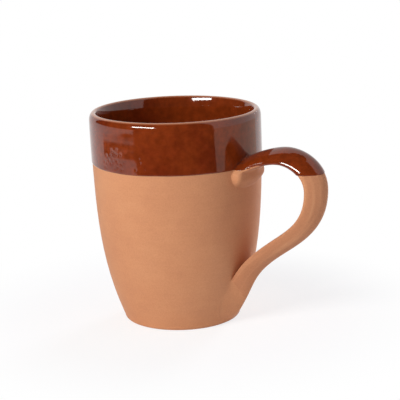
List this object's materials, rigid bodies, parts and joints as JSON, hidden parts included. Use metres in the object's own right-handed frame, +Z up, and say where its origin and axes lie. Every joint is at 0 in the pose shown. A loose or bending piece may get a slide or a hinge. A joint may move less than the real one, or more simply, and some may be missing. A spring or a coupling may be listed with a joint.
{
  "type": "mug",
  "caption": "Thrown terracotta mug with a tapering round cup, a looped side handle and a glossy brown glaze over the inside, the rim and the upper band.",
  "frame": {"origin": "centre of the flat underside of the base, on the table", "axes": "+Z up along the cup's axis, +X from the axis towards the handle"},
  "size_m": [0.1234, 0.0836, 0.1041],
  "materials": {
    "clay": "matte bare terracotta",
    "slip": "matte clay slip",
    "glaze": "glossy brown glaze"
  },
  "bodies": {
    "root": {"cup_body": "clay", "handle": "clay", "upper_slip_joint": "slip", "lower_slip_joint": "slip", "lining_glaze": "glaze", "rim_band_glaze": "glaze", "handle_glaze": "glaze"}
  },
  "joints": []
}
